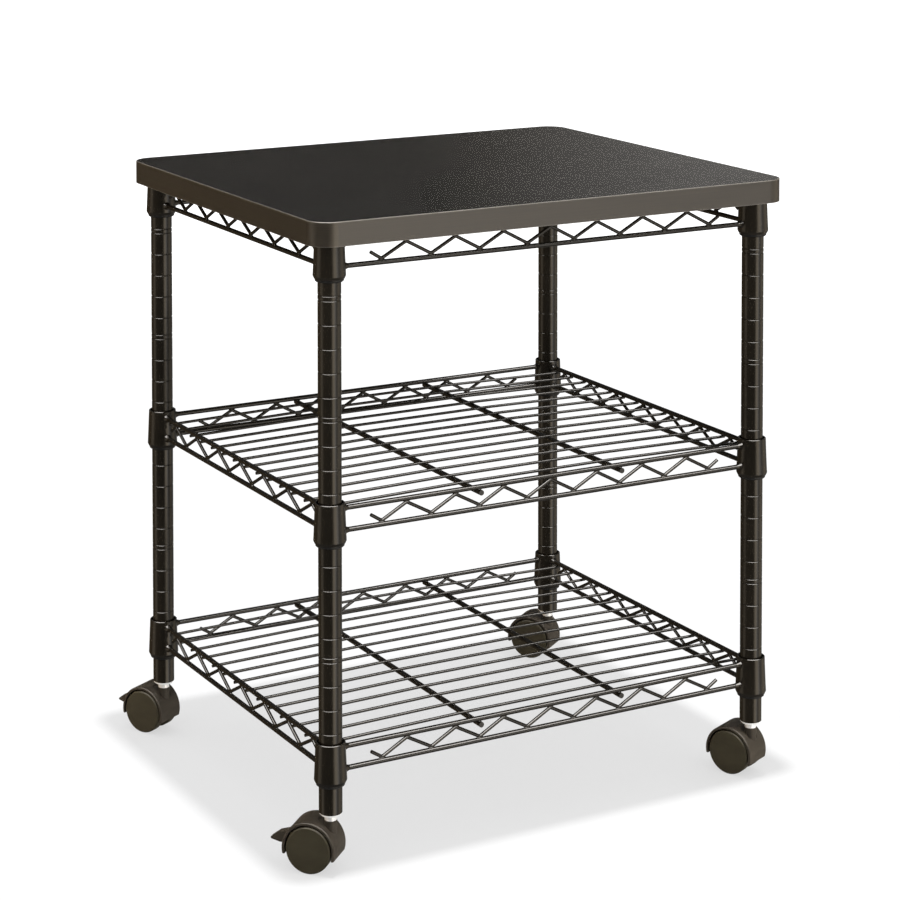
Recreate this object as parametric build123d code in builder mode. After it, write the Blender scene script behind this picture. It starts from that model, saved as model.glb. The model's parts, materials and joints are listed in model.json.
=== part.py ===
from build123d import *
import math
import os

# Mobile printer stand: a laminated board on a three-level wire shelf unit with four twin-wheel casters.
# Millimetres, +X to the right along the wide front, +Y to the back, +Z up.
# The origin is the centre of the board's top face, where the printer stands.

os.makedirs("parts", exist_ok=True)

# ---- driving dimensions ----
stand_height = 691.5  # floor to board top, 27.2 in
board_width, board_depth, board_thickness = 600.0, 500.0, 26.0
board_corner = 25.0
band_thickness, band_bevel = 1.2, 0.5
post_span_x, post_span_y = 542.8, 442.8  # between post centres
post_radius, post_wall = 12.5, 1.2
groove_pitch = 25.4  # height steps of the shelves, 1 in
shelf_steps = (0, 11, 21)  # grooves below the top shelf, for the top, middle and lower shelf
rail_radius, truss_radius, deck_radius, cross_radius = 2.75, 1.9, 1.65, 3.0
rail_gap = 23.7  # upper rail to lower rail, centre to centre
weld_sink = 0.3  # how far welded wires sink into each other
truss_pitch = 60.0
long_bends, side_bends = 15, 13
deck_pitch, deck_count = 30.0, 14
cross_spacing = 181.0
wheel_radius, caster_trail = 25.0, 19.1

# ---- worked-out levels and places ----
floor_z = -stand_height
post_bottom = floor_z + 62.3
pocket_depth = 14.0
cap_head = 1.5
post_top = pocket_depth - board_thickness - cap_head
top_rail_z = -board_thickness - rail_radius
shelf_levels = {
    name: top_rail_z - step * groove_pitch
    for name, step in zip(("top", "middle", "lower"), shelf_steps)
}
half_x, half_y = post_span_x / 2, post_span_y / 2
post_spots = {
    "front_left": (-half_x, -half_y),
    "front_right": (half_x, -half_y),
    "back_left": (-half_x, half_y),
    "back_right": (half_x, half_y),
}
caster_headings = {"front_left": 133, "front_right": 114, "back_left": 119, "back_right": 126}
braked = ("front_left", "back_left")


def write(name, label, place=Location()):
    """Label a finished piece, standing at its place, and write its STEP file."""
    piece = name.part.moved(place)
    piece.label = label
    export_step(piece, f"parts/{label}.step")


def corners(z=0.0):
    """One location on each post axis, at height z."""
    return Locations(*[(x, y, z) for x, y in post_spots.values()])


# ---- board ----
pocket_radius = 18.0
with BuildPart() as board:
    with BuildSketch(Plane.XY.offset(-board_thickness)):
        RectangleRounded(
            board_width - 2 * band_thickness, board_depth - 2 * band_thickness, board_corner - band_thickness
        )
    extrude(amount=board_thickness)
    with BuildSketch(Plane.XY.offset(-board_thickness)):
        with corners():
            Circle(pocket_radius)
    extrude(amount=pocket_depth, mode=Mode.SUBTRACT)
write(board, "top_board")

with BuildPart() as edge_band:
    with BuildSketch(Plane.XY.offset(-board_thickness)):
        RectangleRounded(board_width, board_depth, board_corner)
        RectangleRounded(
            board_width - 2 * band_thickness,
            board_depth - 2 * band_thickness,
            board_corner - band_thickness,
            mode=Mode.SUBTRACT,
        )
    extrude(amount=board_thickness)
    chamfer(edge_band.faces().sort_by(Axis.Z)[-1].outer_wire().edges(), band_bevel)
write(edge_band, "board_edge_band")

# ---- posts ----
groove_depth, groove_radius, groove_count = 0.6, 1.0, 23
groove_drop = 6.25  # from an upper rail down to the groove that holds its clips
groove_heights = [top_rail_z - groove_drop - k * groove_pitch for k in range(groove_count)]
marker_gap = 5.0  # a second groove above every fifth one
marker_heights = [z + marker_gap for z in groove_heights[2::5]]
groove_axis_radius = post_radius + groove_radius - groove_depth

with BuildPart() as post:
    with BuildSketch(Plane.XY.offset(post_bottom)):
        Circle(post_radius)
        Circle(post_radius - post_wall, mode=Mode.SUBTRACT)
    extrude(amount=post_top - post_bottom)
    with BuildSketch(Plane.XZ):
        with Locations(*[(groove_axis_radius, z) for z in groove_heights + marker_heights]):
            Circle(groove_radius)
    revolve(axis=Axis.Z, mode=Mode.SUBTRACT)
    chamfer(post.edges().group_by(Axis.Z)[0].sort_by(SortBy.RADIUS)[-1], 0.5)

for corner, (x, y) in post_spots.items():
    write(post, f"post_{corner}", Location((x, y, 0)))

plug_radius = post_radius - post_wall - 0.05
cap_plug_wall, cap_plug_length = 1.5, 9.0
with BuildPart() as post_caps:
    with BuildSketch(Plane.XY.offset(post_top)):
        with corners():
            Circle(post_radius)
    extrude(amount=cap_head)
    with BuildSketch(Plane.XY.offset(post_top)):
        with corners():
            Circle(plug_radius)
            Circle(plug_radius - cap_plug_wall, mode=Mode.SUBTRACT)
    extrude(amount=-cap_plug_length)
write(post_caps, "post_top_caps")

# ---- caster sockets and stems in the post ends ----
socket_flange, socket_length, socket_end = 2.8, 32.0, 3.0
flange_radius, flange_taper = post_radius - 0.4, 2.4
stem_radius, stem_fit = 5.0, 0.05
shoulder_radius, shoulder_height = 6.5, 5.1
spigot_radius, spigot_height = 4.0, 42.0  # the spigot's lower end, above the floor
flange_bottom = post_bottom - socket_flange
shoulder_bottom = flange_bottom - shoulder_height
with BuildPart() as sockets:
    with BuildSketch(Plane.XY.offset(post_bottom)):
        with corners():
            Circle(flange_radius)
    extrude(amount=-socket_flange)
    chamfer(sockets.edges().group_by(Axis.Z)[0], flange_taper)
    with BuildSketch(Plane.XY.offset(post_bottom)):
        with corners():
            Circle(plug_radius)
    extrude(amount=socket_length)
    with BuildSketch(Plane.XY.offset(flange_bottom)):
        with corners():
            Circle(stem_radius + stem_fit)
    extrude(amount=socket_flange + socket_length - socket_end, mode=Mode.SUBTRACT)
write(sockets, "caster_sockets")

stem_length = 26.0
ring_drop, ring_height, ring_depth = 6.0, 4.0, 0.8  # the grip ring's groove, below the stem's upper end
ring_fit, ring_slit = 0.1, 1.2
ring_top = post_bottom + stem_length - ring_drop
with BuildPart() as stems:
    with BuildSketch(Plane.XY.offset(flange_bottom)):
        with corners():
            Circle(stem_radius)
    extrude(amount=stem_length + socket_flange)
    with BuildSketch(Plane.XY.offset(flange_bottom)):
        with corners():
            Circle(shoulder_radius)
    extrude(amount=-shoulder_height)
    with BuildSketch(Plane.XY.offset(shoulder_bottom)):
        with corners():
            Circle(spigot_radius)
    extrude(amount=floor_z + spigot_height - shoulder_bottom)
    with BuildSketch(Plane.XY.offset(ring_top)):
        with corners():
            Circle(stem_radius + 1)
            Circle(stem_radius - ring_depth, mode=Mode.SUBTRACT)
    extrude(amount=-ring_height, mode=Mode.SUBTRACT)
write(stems, "caster_stems")

with BuildPart() as grip_rings:
    with BuildSketch(Plane.XY.offset(ring_top - ring_fit)):
        with corners():
            Circle(stem_radius)
            Circle(stem_radius - ring_depth, mode=Mode.SUBTRACT)
            with Locations((stem_radius, 0)):
                Rectangle(2 * stem_radius, ring_slit, mode=Mode.SUBTRACT)
    extrude(amount=-(ring_height - 2 * ring_fit))
write(grip_rings, "stem_grip_rings")

# ---- collars and clips: a tapered sleeve on each shelf corner sits on a split tapered clip ----
collar_rise, collar_drop = 8.3, 34.6  # above and below the upper rail's centre
collar_top_radius, collar_low_radius, collar_foot_radius = 16.0, 17.6, 16.2
rim_bevel, foot_height = 0.5, 3.0
bore_top_radius, bore_low_radius = 14.5, 15.4
clip_rise, clip_drop = 3.5, 37.8
clip_clearance, clip_slit = 0.04, 1.2
clip_inner = post_radius + 0.03
clip_tip_radius, clip_tip_height = 14.2, 1.0


def bore_radius(z):
    """The collar bore's radius at height z from the upper rail."""
    t = (collar_rise - z) / (collar_rise + collar_drop)
    return bore_top_radius + t * (bore_low_radius - bore_top_radius)


def make_collar(hollow=True):
    with BuildPart() as collar:
        with BuildSketch(Plane.XZ):
            with BuildLine():
                Polyline(
                    (0, collar_rise),
                    (collar_top_radius - rim_bevel, collar_rise),
                    (collar_top_radius, collar_rise - rim_bevel),
                    (collar_low_radius, -collar_drop + foot_height),
                    (collar_foot_radius, -collar_drop),
                    (0, -collar_drop),
                    close=True,
                )
            make_face()
            if hollow:
                with BuildLine():
                    Polyline(
                        (0, collar_rise),
                        (bore_top_radius, collar_rise),
                        (bore_low_radius, -collar_drop),
                        (0, -collar_drop),
                        close=True,
                    )
                make_face(mode=Mode.SUBTRACT)
        revolve(axis=Axis.Z)
    return collar.part


def make_clip():
    """Both halves of one clip, with the ridge inside that sits in the post's groove."""
    with BuildPart() as clip:
        with BuildSketch(Plane.XZ):
            with BuildLine():
                Polyline(
                    (clip_inner, clip_rise),
                    (bore_radius(clip_rise) - clip_clearance, clip_rise),
                    (bore_low_radius - clip_clearance, -collar_drop),
                    (bore_low_radius - clip_clearance, -clip_drop + clip_tip_height),
                    (clip_tip_radius, -clip_drop),
                    (clip_inner, -clip_drop),
                    close=True,
                )
            make_face()
            with Locations((groove_axis_radius, -groove_drop)):
                Circle(groove_radius - 0.1)
        revolve(axis=Axis.Z)
        with BuildSketch(Plane.XY.offset(-clip_drop)):
            Rectangle(4 * post_radius, clip_slit)
        extrude(amount=clip_rise + clip_drop, mode=Mode.SUBTRACT)
    return clip.part


collar = make_collar()
collar_envelope = make_collar(hollow=False)
clip = make_clip()

# ---- wires of one shelf, at height 0 = the upper rail's centre ----
bend_radius = 4.0
rail_touch = rail_radius + truss_radius - weld_sink  # rail centre to truss wire centre at a weld
wave_angle = math.atan((rail_gap - 2 * rail_touch) / (truss_pitch / 2))
bend_lift = bend_radius * (1 / math.cos(wave_angle) - 1)  # how far a rounded bend stays inside its corner
truss_low = -rail_gap + rail_touch - bend_lift
truss_high = -rail_touch + bend_lift
stub = 13.0


def truss_wave(bends, starts_low):
    """Corner points (along, height) of a zigzag with a short stub at both ends."""
    heights = (truss_low, truss_high) if starts_low else (truss_high, truss_low)
    step = truss_pitch / 2
    points = [((i - (bends - 1) / 2) * step, heights[i % 2]) for i in range(bends)]
    reach = points[-1][0] + stub
    stub_height = (truss_low + truss_high) / 2
    return [(-reach, stub_height), *points, (reach, stub_height)]


def make_truss(points, plane, places):
    with BuildPart() as truss:
        with BuildLine(plane) as path:
            FilletPolyline(*points, radius=bend_radius)
        with BuildSketch(Plane(origin=path.line @ 0, z_dir=path.line % 0)):
            Circle(truss_radius)
        sweep()
    return make_copies(truss.part, places)


def make_copies(piece, places):
    with BuildPart() as copies:
        with Locations(*places):
            add(piece)
    return copies


long_trusses = make_truss(truss_wave(long_bends, True), Plane.XZ, [(0, -half_y), (0, half_y)])
side_trusses = make_truss(truss_wave(side_bends, False), Plane.YZ, [(-half_x, 0), (half_x, 0)])

cross_z = -rail_radius - cross_radius + weld_sink
cross_reach = half_y + 5.2  # the cut ends show just past the front and back rails
with BuildPart() as cross_wires:
    with Locations((-cross_spacing / 2, 0, cross_z), (cross_spacing / 2, 0, cross_z)):
        Cylinder(cross_radius, 2 * cross_reach, rotation=(90, 0, 0))

# A deck wire passes under the side rails and over the cross wires, so it arches slightly.
deck_end_z = -rail_radius - deck_radius + weld_sink
deck_mid_z = cross_z + cross_radius + deck_radius - weld_sink
deck_reach = half_x + 2.2
deck_flat, deck_end = cross_spacing / 2 + 8, half_x - 6  # half lengths of the arch's top and of its foot
deck_half = [(deck_flat, deck_mid_z), (deck_end, deck_end_z), (deck_reach, deck_end_z)]
with BuildPart() as deck_wire:
    with BuildLine(Plane.XZ) as deck_path:
        Polyline(*[(-x, z) for x, z in reversed(deck_half)], *deck_half)
    with BuildSketch(Plane(origin=deck_path.line @ 0, z_dir=(1, 0, 0))):
        Circle(deck_radius)
    sweep(transition=Transition.RIGHT)
deck_rows = [(0, (i - (deck_count - 1) / 2) * deck_pitch) for i in range(deck_count)]

# Upper and lower rails on all four sides, their ends shaped to the collars.
with BuildPart() as rails:
    with Locations(*[(0, y, z) for y in (-half_y, half_y) for z in (0, -rail_gap)]):
        Cylinder(rail_radius, post_span_x - 2 * collar_top_radius, rotation=(0, 90, 0))
    with Locations(*[(x, 0, z) for x in (-half_x, half_x) for z in (0, -rail_gap)]):
        Cylinder(rail_radius, post_span_y - 2 * collar_top_radius, rotation=(90, 0, 0))
    with corners():
        add(collar_envelope, mode=Mode.SUBTRACT)

edge_pieces = {
    "collars": make_copies(collar, list(post_spots.values())),
    "clips": make_copies(clip, list(post_spots.values())),
    "rails": rails,
    "long_trusses": long_trusses,
    "side_trusses": side_trusses,
}
deck_pieces = {"deck_wires": make_copies(deck_wire.part, deck_rows), "cross_wires": cross_wires}
shelf_pieces = edge_pieces | deck_pieces
for shelf, z in shelf_levels.items():
    # The top shelf is an open frame, because the board covers it.
    for name, piece in (edge_pieces if shelf == "top" else shelf_pieces).items():
        write(piece, f"{shelf}_shelf_{name}", Location((0, 0, z)))

# ---- caster, in its own frame: swivel axis on Z, floor at 0, wheels trail towards +X, axle along Y ----
hood_radius, hood_bore, hood_half, hood_round = 29.65, 26.9, 18.5, 1.6
web_half = 7.0  # the hood's middle web, between the wheels
wheel_inner, wheel_outer = 7.7, 19.5
axle_radius, axle_reach = 3.0, 14.7
running_gap = 0.05
axle_plane = Plane(origin=(caster_trail, 0, wheel_radius), x_dir=(1, 0, 0), z_dir=(0, -1, 0))
neck_radius, neck_bottom, neck_top = 6.8, 38.0, 54.0
bowl_radius, bowl_reach = 7.3, 8.7  # a cone sunk round the neck: its floor's radius, and how far it widens
bowl_floor, bowl_height = 41.0, 17.5
bowl_skin = 1.1  # left between the bowl and the wheels
lip_front, lip_rear, lip_low = (-20.0, 16.0), (60.0, 19.6), -10.0  # everything below this edge is cut away
pin_x, pin_z, pin_radius, pin_boss = 38.0, 34.0, 1.5, 3.6
lever_half, lever_tip_half, slot_half = 4.9, 3.5, 5.3
slot_front, slot_top = 32.0, 39.4


def make_hood(with_lever):
    with BuildPart() as hood:
        with BuildSketch(axle_plane):
            Circle(hood_radius)
        extrude(amount=hood_half, both=True)
        fillet(hood.edges().filter_by(GeomType.CIRCLE), hood_round)
        with BuildSketch(Plane.XZ):
            with BuildLine():
                Polyline(
                    (0, bowl_floor),
                    (bowl_radius, bowl_floor),
                    (bowl_radius + bowl_reach, bowl_floor + bowl_height),
                    (0, bowl_floor + bowl_height),
                    close=True,
                )
            make_face()
        revolve(axis=Axis.Z, mode=Mode.SUBTRACT)
        with BuildSketch(axle_plane):
            Circle(hood_bore + bowl_skin)
        extrude(amount=hood_half, both=True)
        with BuildSketch(Plane.XY.offset(neck_bottom)):
            Circle(neck_radius)
        extrude(amount=neck_top - neck_bottom)
        for side in (1, -1):
            with BuildSketch(axle_plane.offset(side * web_half)):
                Circle(hood_bore)
            extrude(amount=side * hood_half, mode=Mode.SUBTRACT)
        with BuildSketch(Plane.XZ):
            with BuildLine():
                Polyline(lip_front, lip_rear, (lip_rear[0], lip_low), (lip_front[0], lip_low), close=True)
            make_face()
        extrude(amount=2 * hood_half, both=True, mode=Mode.SUBTRACT)
        with BuildSketch(Plane.XY.offset(spigot_height - 0.5)):
            Circle(spigot_radius + running_gap)
        extrude(amount=neck_top - spigot_height + 1, mode=Mode.SUBTRACT)
        with BuildSketch(axle_plane):
            Circle(axle_radius)
        extrude(amount=web_half, both=True, mode=Mode.SUBTRACT)
        if with_lever:
            with BuildSketch(Plane.XZ):
                with BuildLine():
                    Polyline(
                        (slot_front, slot_top),
                        (lip_rear[0], slot_top),
                        (lip_rear[0], 0),
                        (slot_front, 0),
                        close=True,
                    )
                make_face()
            extrude(amount=slot_half, both=True, mode=Mode.SUBTRACT)
            with BuildSketch(Plane.XZ):
                with Locations((pin_x, pin_z)):
                    Circle(pin_radius)
            extrude(amount=web_half, both=True, mode=Mode.SUBTRACT)
    return hood


# A wheel's half section: distances from the axle, and along it from the middle of the caster.
tyre_inner, hub_radius = 22.4, 5.6
hub_floor, cup_floor = 15.2, 16.2
shoulder_y, face_y = 16.2, 18.8
face_edge, face_flat = wheel_radius - 2.4, 4.0  # the disc's dome runs between these radii
inner_bevel, shoulder_crown = 0.8, (wheel_radius - 0.6, 18.0)
rib_count, rib_width = 6, 1.2
rib_start, rib_end = wheel_inner + 2, cup_floor + 0.3


def make_wheel():
    """The wheel on the +Y side: a moulded cup with a domed outer disc, a hub and ribs inside."""
    dome_rise, dome_span = wheel_outer - face_y, face_edge - face_flat
    dome_radius = (dome_span**2 + dome_rise**2) / (2 * dome_rise)
    halfway_drop = dome_radius - math.sqrt(dome_radius**2 - (dome_span / 2) ** 2)
    face_crown = (face_flat + dome_span / 2, wheel_outer - halfway_drop)
    with BuildPart() as wheel:
        with BuildSketch(Plane((caster_trail, 0, wheel_radius))):
            with BuildLine():
                Polyline(
                    (face_flat, wheel_outer),
                    (0, wheel_outer),
                    (0, hub_floor),
                    (hub_radius, hub_floor),
                    (tyre_inner, cup_floor),
                    (tyre_inner, wheel_inner),
                    (wheel_radius - inner_bevel, wheel_inner),
                    (wheel_radius, wheel_inner + inner_bevel),
                    (wheel_radius, shoulder_y),
                )
                ThreePointArc((wheel_radius, shoulder_y), shoulder_crown, (face_edge, face_y))
                ThreePointArc((face_edge, face_y), face_crown, (face_flat, wheel_outer))
            make_face()
            bore = axle_radius + running_gap
            with Locations(((bore + hub_radius) / 2, (wheel_inner + hub_floor) / 2)):
                Rectangle(hub_radius - bore, hub_floor - wheel_inner)
        revolve(axis=Axis((caster_trail, 0, wheel_radius), (0, 1, 0)))
        with BuildSketch(axle_plane.offset(-rib_start)):
            with PolarLocations((hub_radius + tyre_inner) / 2, rib_count):
                Rectangle(tyre_inner - hub_radius + 0.6, rib_width)
        extrude(amount=rib_start - rib_end)
    return wheel


lever_side = [
    (38, 36.8),
    (46, 38.2),
    (57, 35.2),
    (66.5, 28.2),
    (66.1, 26.6),
    (56, 24.6),
    (47, 24.6),
    (45, 27),
    (38, 30.5),
]
lever_plan = [(30, lever_half), (50, lever_half), (67, lever_tip_half)]


def make_lever():
    with BuildPart() as lever:
        with BuildSketch(Plane.XY):
            with BuildLine():
                Polyline(*lever_plan, *[(x, -y) for x, y in reversed(lever_plan)], close=True)
            make_face()
        extrude(amount=2 * wheel_radius)
        with BuildSketch(Plane.XZ):
            with BuildLine():
                Polyline(*lever_side, close=True)
            make_face()
            with Locations((pin_x, pin_z)):
                Circle(pin_boss)
                Circle(pin_radius + running_gap, mode=Mode.SUBTRACT)
        extrude(amount=lever_half, both=True, mode=Mode.INTERSECT)
    return lever


near_wheel = make_wheel()
with BuildPart() as far_wheel:
    add(near_wheel.part)
    mirror(about=Plane.XZ, mode=Mode.REPLACE)
with BuildPart() as axle:
    with BuildSketch(axle_plane):
        Circle(axle_radius)
    extrude(amount=axle_reach, both=True)
    chamfer(axle.edges().filter_by(GeomType.CIRCLE), 0.4)
with BuildPart() as brake_pin:
    with BuildSketch(Plane.XZ):
        with Locations((pin_x, pin_z)):
            Circle(pin_radius)
    extrude(amount=web_half, both=True)

rolling_pieces = {"near_wheel": near_wheel, "far_wheel": far_wheel, "caster_axle": axle}
plain_pieces = rolling_pieces | {"caster_hood": make_hood(False)}
brake_pieces = {"caster_hood": make_hood(True), "brake_lever": make_lever(), "brake_pin": brake_pin}
braked_pieces = rolling_pieces | brake_pieces
for corner, (x, y) in post_spots.items():
    seat = Location((x, y, floor_z), (0, 0, caster_headings[corner]))
    for name, piece in (braked_pieces if corner in braked else plain_pieces).items():
        write(piece, f"{corner}_{name}", seat)
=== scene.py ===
"""Looks of the mobile printer stand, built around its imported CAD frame.

Metres, in the frame's axes: the origin is the centre of the board's top face, +X right along the wide front,
+Y back, +Z up. The CAD nodes keep their shapes and get procedural materials, and the welds are added here.
"""
import json
import math
import random

import bmesh
import bpy
from mathutils import Matrix, Vector

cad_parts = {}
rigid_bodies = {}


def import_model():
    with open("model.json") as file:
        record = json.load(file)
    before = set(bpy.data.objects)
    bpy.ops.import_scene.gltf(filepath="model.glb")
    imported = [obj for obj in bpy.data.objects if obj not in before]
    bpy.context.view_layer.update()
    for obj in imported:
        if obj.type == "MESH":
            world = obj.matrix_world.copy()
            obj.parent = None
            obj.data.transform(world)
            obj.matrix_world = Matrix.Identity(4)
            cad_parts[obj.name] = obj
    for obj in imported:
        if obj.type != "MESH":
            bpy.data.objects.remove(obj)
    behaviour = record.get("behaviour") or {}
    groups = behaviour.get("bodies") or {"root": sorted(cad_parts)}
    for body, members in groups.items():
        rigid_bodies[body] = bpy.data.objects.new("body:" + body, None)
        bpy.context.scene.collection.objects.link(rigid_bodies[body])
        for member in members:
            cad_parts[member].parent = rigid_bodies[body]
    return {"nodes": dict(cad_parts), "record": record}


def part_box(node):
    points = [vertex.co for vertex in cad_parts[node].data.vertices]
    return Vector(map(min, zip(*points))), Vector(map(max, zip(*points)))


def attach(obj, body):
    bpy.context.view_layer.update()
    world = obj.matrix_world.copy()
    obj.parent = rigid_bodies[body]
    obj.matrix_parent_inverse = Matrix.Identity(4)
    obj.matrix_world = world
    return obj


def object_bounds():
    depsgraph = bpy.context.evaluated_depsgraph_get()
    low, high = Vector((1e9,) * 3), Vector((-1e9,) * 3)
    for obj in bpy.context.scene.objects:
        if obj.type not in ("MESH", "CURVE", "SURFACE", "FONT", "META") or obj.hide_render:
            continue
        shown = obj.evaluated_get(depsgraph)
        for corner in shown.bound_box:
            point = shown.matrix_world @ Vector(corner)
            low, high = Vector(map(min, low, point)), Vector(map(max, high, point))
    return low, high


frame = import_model()
cad_low, cad_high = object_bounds()
floor_z = cad_low.z

# ---- sizes of the CAD part that its boxes don't give ----
RAIL_RADIUS = 0.00275
COLLAR_AT_UPPER_RAIL = 0.0163  # the tapered collar's radius at the height of the upper rails
COLLAR_AT_LOWER_RAIL = 0.0173
TRUSS_STEP = 0.030  # from one bend of a truss wire to the next
LONG_BENDS = 15
SIDE_BENDS = 13
DECK_PITCH = 0.030
DECK_COUNT = 14
CROSS_SPACING = 0.181

SHELVES = ("top", "middle", "lower")
SHELF_BODY = {"top": "frame", "middle": "middle_shelf", "lower": "lower_shelf"}

# ---- sizes of the welds ----
FILLET_LENGTH = 0.0084  # along the rail
FILLET_FLARE = 0.0030  # how far it stands out from the rail at the collar
FILLET_CURVE = 1.8  # how quickly it thins out
FILLET_SUNK = 0.0022  # how far it starts inside the collar
FILLET_SKIN = 0.05  # how uneven its surface is, as a share of its radius
TRUSS_SPOT = (0.0046, 0.0019, 0.0013)  # spot welds: half lengths along the rail, across it and up
DECK_SPOT = (0.0018, 0.0018, 0.0009)
CROSS_SPOT = (0.0024, 0.0024, 0.0011)
SPOT_SKIN = 0.10
TOUCH = 0.0002  # how far a weld sinks into its rail

# ---- the studio ----
FLOOR_SIZE = 60.0
FLOOR_GAP = 0.0002  # keeps the wheels' undersides clear of the floor's face
GLOW_NEAR, GLOW_FAR = (1.5, 0.60), (4.0, 1.10)  # distance from the stand, and the floor's own light there

CAMERA_PLACE = Vector((-1.4647, -2.5723, 0.4658))
CAMERA_SENSOR = 36.0
CAMERA_LENS = 101.97
CAMERA_YAW, CAMERA_PITCH, CAMERA_ROLL = math.radians(-28.395), math.radians(2.505), math.radians(-0.077)
CAMERA_SHIFT = {"shift_x": 0.0619, "shift_y": -0.6323}
TOWARDS_CAMERA = Vector((CAMERA_PLACE.x, CAMERA_PLACE.y, 0)).normalized()
CAMERA_RIGHT = Vector((-TOWARDS_CAMERA.y, TOWARDS_CAMERA.x, 0))

WHITE, NEUTRAL, WARM, AMBER = (1.0, 1.0, 1.0), (1.0, 0.96, 0.91), (1.0, 0.86, 0.66), (1.0, 0.75, 0.45)

# What the glossy paint mirrors round the stand: bearing, brightness and tint. Bearings are degrees to the
# right of the camera, as seen from the stand.
SURROUND = (
    (-180, 0.03, WARM),
    (-165, 0.02, WARM),
    (-140, 0.10, AMBER),
    (-98, 0.12, AMBER),
    (-90, 0.70, WARM),
    (-70, 0.65, WARM),
    (-60, 0.12, WARM),
    (18, 0.03, WARM),
    (26, 0.4, WARM),
    (35, 2.2, WARM),
    (48, 2.3, WARM),
    (58, 1.8, NEUTRAL),
    (70, 0.4, NEUTRAL),
    (84, 0.5, NEUTRAL),
    (98, 0.85, WARM),
    (112, 0.7, WARM),
    (130, 0.20, NEUTRAL),
    (174, 0.36, NEUTRAL),
    (180, 0.06, WARM),
)
SURROUND_PEAK = 2.5  # the brightness that the ring's colours are a share of
SURROUND_RISE = (-0.70, -0.56)  # a direction's heights where the ring starts and where it is full
SURROUND_FALL = (0.27, 0.19)  # and, above it, where it is gone and where it is still full
OUTSIDE = 0.10  # brightness above and below the ring
OVERHEAD = 15.0  # brightness of the softbox above the camera's side
OVERHEAD_RISE = (0.52, 0.60)  # a direction's heights where that box starts and where it is full
OVERHEAD_FRONT = (-0.10, 0.15)  # and the same for how far the direction leans towards the camera
AMBIENT = 0.88  # the even light that matte surfaces get

LAMP_PLACE = Vector((0, -0.36, 7.2))
LAMP_SIZE = 0.28
LAMP_STRENGTH = 0.85
FILL_SIZE = 1.4


def post_centre(corner):
    low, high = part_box(f"post_{corner}")
    return (low + high) / 2


# ---- node building blocks ----
class Nodes:
    """A node tree, written as a few calls. A value is a number, a colour or vector, or a node's output."""

    def __init__(self, tree):
        self.tree = tree
        tree.nodes.clear()

    def node(self, kind, inputs=None, **settings):
        made = self.tree.nodes.new(kind)
        for key, value in settings.items():
            setattr(made, key, value)
        for key, value in (inputs or {}).items():
            socket = made.inputs[key]
            if isinstance(value, bpy.types.NodeSocket):
                self.tree.links.new(value, socket)
            elif socket.type == "RGBA":
                socket.default_value = (*value, 1)
            else:
                socket.default_value = value
        return made

    def calculate(self, operation, first, second):
        return self.node("ShaderNodeMath", {0: first, 1: second}, operation=operation).outputs[0]

    def dot(self, first, second):
        made = self.node("ShaderNodeVectorMath", {0: first, 1: second}, operation="DOT_PRODUCT")
        return made.outputs["Value"]

    def remap(self, value, start, end, to_start=0, to_end=1, **settings):
        """Turns start into to_start and end into to_end, and holds these beyond them."""
        ends = {"From Min": start, "From Max": end, "To Min": to_start, "To Max": to_end}
        return self.node("ShaderNodeMapRange", {"Value": value, **ends}, **settings).outputs["Result"]

    def fade(self, value, start, end):
        """0 up to start, 1 from end on, and smooth between."""
        return self.remap(value, start, end, interpolation_type="SMOOTHSTEP")


class Surface(Nodes):
    """One node material."""

    def __init__(self, name):
        self.material = bpy.data.materials.new(name)
        self.material.use_nodes = True
        super().__init__(self.material.node_tree)
        self.place = self.node("ShaderNodeTexCoord").outputs["Object"]

    def stretched(self, scale):
        """Object coordinates in metres, multiplied by scale along each axis."""
        mapping = self.node("ShaderNodeMapping", {"Vector": self.place, "Scale": scale})
        return mapping.outputs["Vector"]

    def noise(self, scale, detail, roughness=0.5, vector=None):
        values = {"Scale": scale, "Detail": detail, "Roughness": roughness}
        return self.node("ShaderNodeTexNoise", {"Vector": vector or self.place, **values}).outputs["Fac"]

    def patches(self, noise):
        """Noise with more contrast, from 0 to 1."""
        return self.remap(noise, 0.35, 0.65)

    def varied(self, noise, low, high):
        """A finish value that wanders between low and high."""
        return self.remap(noise, 0.3, 0.7, low, high)

    def mix(self, factor, first, second):
        """A blend of two colours; 6, 7 and 2 are the colour sockets of this node."""
        return self.node("ShaderNodeMix", {0: factor, 6: first, 7: second}, data_type="RGBA").outputs[2]

    def bump(self, height, strength, distance):
        values = {"Height": height, "Strength": strength, "Distance": distance}
        return self.node("ShaderNodeBump", values).outputs["Normal"]

    def edges_worn_and_highlit(self, colour, radius, strength, wear_and_highlight):
        """colour, mixed by strength with the given edge colour wherever an edge is sharper than radius. The
        lighter edge is rubbed wear on the nylon, a painted highlight on the edge band, and partly both on the
        powder coat.
        """
        rounded = self.node("ShaderNodeBevel", {"Radius": radius}, samples=4).outputs["Normal"]
        true = self.node("ShaderNodeNewGeometry").outputs["Normal"]
        smooth, sharp = 0.985, 0.90  # cosines of the angle between the two normals
        edge = self.remap(self.dot(rounded, true), smooth, sharp)
        return self.mix(self.calculate("MULTIPLY", edge, strength), colour, wear_and_highlight)

    def finish(self, **inputs):
        """Makes the Principled surface; the keys are its inputs, with _ for a space."""
        named = {key.replace("_", " "): value for key, value in inputs.items()}
        surface = self.node("ShaderNodeBsdfPrincipled", named)
        self.node("ShaderNodeOutputMaterial", {"Surface": surface.outputs["BSDF"]})
        return self.material


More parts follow.
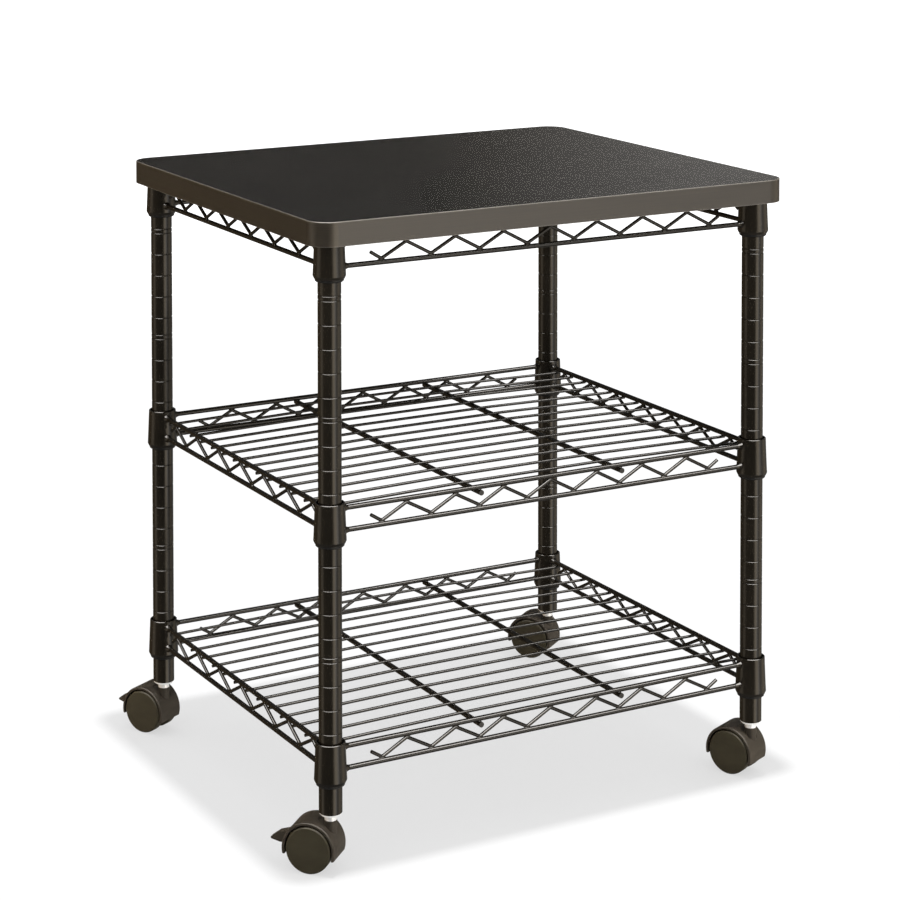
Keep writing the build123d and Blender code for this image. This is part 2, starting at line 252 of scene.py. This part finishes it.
# ---- materials ----
def powder_coat():
    """Semi-gloss brown-black powder coat: orange peel, cloudy gloss, and sharp edges painted lighter, partly
    as thinner paint and partly as a painted highlight.
    """
    s = Surface("powder_coat")
    speck = s.remap(s.noise(scale=2600, detail=1), 0.62, 0.75, 0, 0.5)
    colour = s.mix(s.patches(s.noise(scale=9, detail=4)), (0.0062, 0.0052, 0.0036), (0.0105, 0.0085, 0.0058))
    colour = s.mix(speck, colour, (0.020, 0.017, 0.013))
    # lighter sharp edges: partly thinner paint, partly a painted highlight
    colour = s.edges_worn_and_highlit(colour, radius=0.0006, strength=0.5, wear_and_highlight=(0.045, 0.040, 0.032))
    rough = s.varied(s.noise(scale=60, detail=4), 0.15, 0.24)
    peel = s.bump(s.noise(scale=750, detail=2), strength=0.18, distance=0.0002)
    return s.finish(Base_Color=colour, Roughness=rough, Normal=peel, Specular_IOR_Level=0.5)


def board_laminate():
    """Near-black satin melamine: fine pebble, faint handling haze."""
    s = Surface("board_laminate")
    colour = s.mix(s.patches(s.noise(scale=5, detail=5)), (0.0046, 0.0045, 0.0043), (0.0066, 0.0064, 0.0061))
    haze = s.varied(s.noise(scale=14, detail=6), 0.21, 0.24)
    rough = s.calculate("ADD", haze, s.varied(s.noise(scale=420, detail=2), 0, 0.02))
    pebble = s.bump(s.noise(scale=1500, detail=3), strength=0.04, distance=0.00012)
    return s.finish(Base_Color=colour, Roughness=rough, Normal=pebble, Specular_IOR_Level=0.5)


def edge_band():
    """Brown-black edge strip with faint long grain and a painted highlight along the upper arris."""
    s = Surface("edge_band")
    grain = s.noise(scale=1, detail=5, roughness=0.6, vector=s.stretched((9, 9, 900)))
    colour = s.mix(s.patches(grain), (0.0118, 0.0092, 0.0062), (0.0168, 0.0136, 0.0094))
    # the pale upper arris is a painted highlight
    colour = s.edges_worn_and_highlit(colour, radius=0.0012, strength=0.7, wear_and_highlight=(0.20, 0.185, 0.16))
    rough = s.varied(grain, 0.28, 0.38)
    relief = s.bump(grain, strength=0.12, distance=0.00015)
    return s.finish(Base_Color=colour, Roughness=rough, Normal=relief, Specular_IOR_Level=0.78)


def moulded(name, dark, light, rough, grain=1800):
    """Moulded nylon: fine spark-eroded grain, slight flow marks and rubbed edges."""
    s = Surface(name)
    flow = s.noise(scale=35, detail=4, roughness=0.6, vector=s.stretched((1, 1, 2.5)))
    rubbed = tuple(min(1.0, 2 * channel) for channel in light)
    colour = s.edges_worn_and_highlit(s.mix(s.patches(flow), dark, light), radius=0.0005, strength=0.3, wear_and_highlight=rubbed)
    relief = s.bump(s.noise(scale=grain, detail=2), strength=0.3, distance=0.00012)
    gloss = s.varied(s.noise(scale=120, detail=3), *rough)
    return s.finish(Base_Color=colour, Roughness=gloss, Normal=relief, Specular_IOR_Level=0.25)


def zinc_steel():
    """Bright zinc plate with fine turning marks."""
    s = Surface("zinc_steel")
    marks = s.noise(scale=1, detail=3, vector=s.stretched((60, 60, 5200)))
    colour = s.mix(s.varied(s.noise(scale=240, detail=3), 0, 1), (0.78, 0.79, 0.80), (0.90, 0.90, 0.89))
    turned = s.bump(marks, strength=0.2, distance=0.0001)
    return s.finish(Base_Color=colour, Metallic=0.45, Roughness=s.varied(marks, 0.26, 0.40), Normal=turned)


def floor_paint():
    """Pale grey that glows a little, which keeps the shadow light and the far floor white."""
    s = Surface("floor_paint")
    colour = s.mix(s.varied(s.noise(scale=0.8, detail=3), 0, 1), (0.265, 0.265, 0.268), (0.275, 0.275, 0.275))
    reach = s.node("ShaderNodeVectorMath", {0: s.place}, operation="LENGTH").outputs["Value"]
    (near, near_glow), (far, far_glow) = GLOW_NEAR, GLOW_FAR
    glow = s.remap(reach, near, far, near_glow, far_glow)
    paint = {"Base_Color": colour, "Roughness": 0.8, "Specular_IOR_Level": 0.0}
    return s.finish(**paint, Emission_Color=WHITE, Emission_Strength=glow)


MATERIALS = {
    "powder_coat": powder_coat(),
    "board_laminate": board_laminate(),
    "edge_band": edge_band(),
    "caster_nylon": moulded(
        "caster_nylon", dark=(0.024, 0.0198, 0.0148), light=(0.034, 0.0282, 0.0212), rough=(0.40, 0.50)
    ),
    "wheel_nylon": moulded(
        "wheel_nylon",
        dark=(0.0225, 0.0192, 0.0108),
        light=(0.0302, 0.0262, 0.0148),
        rough=(0.44, 0.52),
        grain=2400,
    ),
    "black_nylon": moulded(
        "black_nylon", dark=(0.005, 0.005, 0.005), light=(0.008, 0.008, 0.008), rough=(0.38, 0.50)
    ),
    "white_nylon": moulded(
        "white_nylon", dark=(0.72, 0.72, 0.70), light=(0.84, 0.84, 0.82), rough=(0.28, 0.40)
    ),
    "zinc_steel": zinc_steel(),
}

for part in frame["record"]["subparts"]:
    mesh = frame["nodes"][part["node"]].data
    mesh.materials.clear()
    mesh.materials.append(MATERIALS[part["material_slot"]])


# ---- welds ----
def add_spot_weld(bm, centre, size, turn, rng):
    """A small weld nugget: a sphere stretched to size (half lengths), turned about Z, with an uneven skin."""
    place = Matrix.Translation(centre) @ Matrix.Rotation(turn, 4, "Z") @ Matrix.Diagonal((*size, 1))
    made = bmesh.ops.create_icosphere(bm, subdivisions=2, radius=1.0, matrix=place)
    for vert in made["verts"]:
        vert.co = centre + (vert.co - centre) * (1 + rng.uniform(-SPOT_SKIN, SPOT_SKIN))


def add_collar_weld(bm, start, direction, rng):
    """A fillet of weld metal round a rail's end: wide at the collar (start), thinning out along the rail."""
    around, steps = 24, 7
    side = Vector((-direction.y, direction.x, 0))
    up = Vector((0, 0, 1))
    rings = []
    for i in range(steps + 1):
        t = i / steps
        radius = RAIL_RADIUS - TOUCH * t + FILLET_FLARE * (1 - t) ** FILLET_CURVE
        centre = start + direction * (FILLET_LENGTH * t - FILLET_SUNK)
        ring = []
        for k in range(around):
            angle = 2 * math.pi * k / around
            lumpy = radius * (1 + rng.uniform(-FILLET_SKIN, FILLET_SKIN) * (1 - t))
            ring.append(bm.verts.new(centre + (side * math.cos(angle) + up * math.sin(angle)) * lumpy))
        rings.append(ring)
    for inner, outer in zip(rings, rings[1:]):
        for k in range(around):
            bm.faces.new((inner[k], inner[(k + 1) % around], outer[(k + 1) % around], outer[k]))
    bm.faces.new(list(reversed(rings[0])))
    bm.faces.new(rings[-1])


def add_collar_welds(bm, upper, lower, half_x, half_y, rng):
    """A fillet at both ends of every rail, at the heights upper and lower."""
    for sx in (-1, 1):
        for sy in (-1, 1):
            for z, reach in ((upper, COLLAR_AT_UPPER_RAIL), (lower, COLLAR_AT_LOWER_RAIL)):
                corner = Vector((sx * half_x, sy * half_y, z))
                for direction in (Vector((-sx, 0, 0)), Vector((0, -sy, 0))):
                    add_collar_weld(bm, corner + direction * reach, direction, rng)


def add_truss_welds(bm, upper, lower, half_x, half_y, rng):
    """A spot weld at every bend of the trusses, which touch the upper and the lower rail by turns."""
    low_touch, high_touch = lower + RAIL_RADIUS - TOUCH, upper - RAIL_RADIUS + TOUCH
    for i in range(LONG_BENDS):
        x = (i - (LONG_BENDS - 1) / 2) * TRUSS_STEP
        z = low_touch if i % 2 == 0 else high_touch
        for y in (-half_y, half_y):
            add_spot_weld(bm, Vector((x, y, z)), TRUSS_SPOT, 0, rng)
    for i in range(SIDE_BENDS):
        y = (i - (SIDE_BENDS - 1) / 2) * TRUSS_STEP
        z = high_touch if i % 2 == 0 else low_touch
        for x in (-half_x, half_x):
            add_spot_weld(bm, Vector((x, y, z)), TRUSS_SPOT, math.pi / 2, rng)


def add_deck_welds(bm, z, half_x, half_y, rng):
    """Spot welds under the upper rails, at height z, and where the deck wires lie on the cross wires."""
    crossings = (-CROSS_SPACING / 2, CROSS_SPACING / 2)
    for i in range(DECK_COUNT):
        y = (i - (DECK_COUNT - 1) / 2) * DECK_PITCH
        for x in (-half_x, half_x, *crossings):
            add_spot_weld(bm, Vector((x, y, z)), DECK_SPOT, 0, rng)
    for x in crossings:
        for y in (-half_y, half_y):
            add_spot_weld(bm, Vector((x, y, z)), CROSS_SPOT, 0, rng)


def shelf_welds(shelf):
    """All welds of one shelf as one piece that rides with the shelf."""
    rng = random.Random(SHELVES.index(shelf))
    low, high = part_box(f"{shelf}_shelf_rails")
    upper, lower = high.z - RAIL_RADIUS, low.z + RAIL_RADIUS
    half_x = post_centre("front_right").x
    half_y = post_centre("back_left").y
    bm = bmesh.new()
    add_collar_welds(bm, upper, lower, half_x, half_y, rng)
    add_truss_welds(bm, upper, lower, half_x, half_y, rng)
    if shelf != "top":
        add_deck_welds(bm, upper - RAIL_RADIUS, half_x, half_y, rng)

    mesh = bpy.data.meshes.new(f"{shelf}_shelf_welds")
    bm.to_mesh(mesh)
    bm.free()
    mesh.shade_smooth()
    mesh.materials.append(MATERIALS["powder_coat"])
    welds = bpy.data.objects.new(f"{shelf}_shelf_welds", mesh)
    bpy.context.scene.collection.objects.link(welds)
    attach(welds, SHELF_BODY[shelf])


for shelf in SHELVES:
    shelf_welds(shelf)

# All meshes made so far are the stand's. The fills light these pieces, and not the floor.
stand_pieces = bpy.data.collections.new("stand_pieces")
for piece in bpy.data.objects:
    if piece.type == "MESH":
        stand_pieces.objects.link(piece)


# ---- floor ----
def make_floor():
    bm = bmesh.new()
    bmesh.ops.create_grid(bm, x_segments=1, y_segments=1, size=FLOOR_SIZE / 2)
    mesh = bpy.data.meshes.new("floor")
    bm.to_mesh(mesh)
    bm.free()
    mesh.materials.append(floor_paint())
    floor = bpy.data.objects.new("floor", mesh)
    floor.location.z = floor_z - FLOOR_GAP
    floor.visible_glossy = False
    bpy.context.scene.collection.objects.link(floor)


make_floor()


# ---- light ----
def studio_world():
    """White to the camera, even for diffuse light, and the studio's softboxes in reflections."""
    world = bpy.data.worlds.new("studio")
    bpy.context.scene.world = world
    world.cycles.sampling_method = "NONE"
    world.use_nodes = True
    w = Nodes(world.node_tree)

    direction = w.node("ShaderNodeTexCoord").outputs["Generated"]
    to_right, to_camera = w.dot(direction, CAMERA_RIGHT), w.dot(direction, TOWARDS_CAMERA)
    height = w.node("ShaderNodeSeparateXYZ", {0: direction}).outputs["Z"]
    bearing = w.calculate("ARCTAN2", to_right, to_camera)
    ramp = w.node("ShaderNodeValToRGB", {"Fac": w.remap(bearing, -math.pi, math.pi)})
    stops = ramp.color_ramp.elements  # a new ramp has its two ends already
    for degrees, _, _ in SURROUND[1:-1]:
        stops.new((degrees + 180) / 360)
    for stop, (_, brightness, tint) in zip(stops, SURROUND):
        stop.color = (*(brightness / SURROUND_PEAK * channel for channel in tint), 1)

    def light(colour, strength):
        return w.node("ShaderNodeBackground", {"Color": colour, "Strength": strength}).outputs[0]

    def mix(factor, first, second):
        return w.node("ShaderNodeMixShader", {0: factor, 1: first, 2: second}).outputs[0]

    ring = w.calculate("MULTIPLY", w.fade(height, *SURROUND_RISE), w.fade(height, *SURROUND_FALL))
    above = w.calculate("MULTIPLY", w.fade(height, *OVERHEAD_RISE), w.fade(to_camera, *OVERHEAD_FRONT))
    sides = mix(ring, light(WHITE, OUTSIDE), light(ramp.outputs["Color"], SURROUND_PEAK))
    mirrored = mix(above, sides, light(NEUTRAL, OVERHEAD))
    ray = w.node("ShaderNodeLightPath").outputs
    surround = mix(ray["Is Glossy Ray"], light(WHITE, AMBIENT), mirrored)
    seen = mix(ray["Is Camera Ray"], surround, light(WHITE, 1.0))
    w.node("ShaderNodeOutputWorld", {"Surface": seen})


def area_light(name, place, aim, size, strength, colour):
    """A round light; strength 1 lights a white card that faces it at its aim to a brightness of 1."""
    light = bpy.data.lights.new(name, "AREA")
    light.shape = "DISK"
    light.size = size
    light.energy = strength * math.pi**2 * (aim - place).length_squared
    light.color = colour
    holder = bpy.data.objects.new(name, light)
    holder.location = place
    holder.rotation_euler = (aim - place).to_track_quat("-Z", "Y").to_euler()
    holder.visible_glossy = False
    bpy.context.scene.collection.objects.link(holder)
    return holder


def overhead_lamp():
    """Throws the board's soft-edged shadow down and slightly back, a little larger than the board."""
    area_light("overhead_lamp", LAMP_PLACE, Vector((0, 0, floor_z)), LAMP_SIZE, LAMP_STRENGTH, WHITE)


def soft_fill(name, bearing, distance, height, strength, colour):
    """A large light at one side that shades matte surfaces of the stand, but not the floor."""
    turn = math.radians(bearing)
    aim = Vector((0, 0, height))
    place = aim + (TOWARDS_CAMERA * math.cos(turn) + CAMERA_RIGHT * math.sin(turn)) * distance
    fill = area_light(name, place, aim, FILL_SIZE, strength, colour)
    fill.light_linking.receiver_collection = stand_pieces


studio_world()
overhead_lamp()
soft_fill("right_fill", bearing=64, distance=1.7, height=-0.45, strength=1.05, colour=(1.0, 0.96, 0.93))
soft_fill("left_fill", bearing=-85, distance=2.6, height=-0.35, strength=0.5, colour=(1.0, 0.60, 0.20))


# ---- camera ----
def make_camera():
    """Upright view-camera perspective: nearly level, with the picture shifted down onto the stand."""
    data = bpy.data.cameras.new("camera")
    data.sensor_width = CAMERA_SENSOR
    data.lens = CAMERA_LENS
    camera = bpy.data.objects.new("camera", data)
    bpy.context.scene.collection.objects.link(camera)
    camera.matrix_world = (
        Matrix.Translation(CAMERA_PLACE)
        @ Matrix.Rotation(CAMERA_YAW, 4, "Z")
        @ Matrix.Rotation(math.pi / 2 - CAMERA_PITCH, 4, "X")
        @ Matrix.Rotation(CAMERA_ROLL, 4, "Z")
    )
    # The lens shift belongs to this viewpoint only: a driver turns it off wherever else the camera is put.
    home = camera.location.x
    for shift, amount in CAMERA_SHIFT.items():
        driver = data.driver_add(shift).driver
        driver.type = "SCRIPTED"
        variable = driver.variables.new()
        variable.name = "x"
        variable.targets[0].id = camera
        variable.targets[0].data_path = "location.x"
        driver.expression = f"{amount} if abs(x - {home:.6f}) < 0.0001 else 0.0"
    bpy.context.scene.camera = camera


make_camera()
bpy.context.scene.view_settings.view_transform = "Standard"
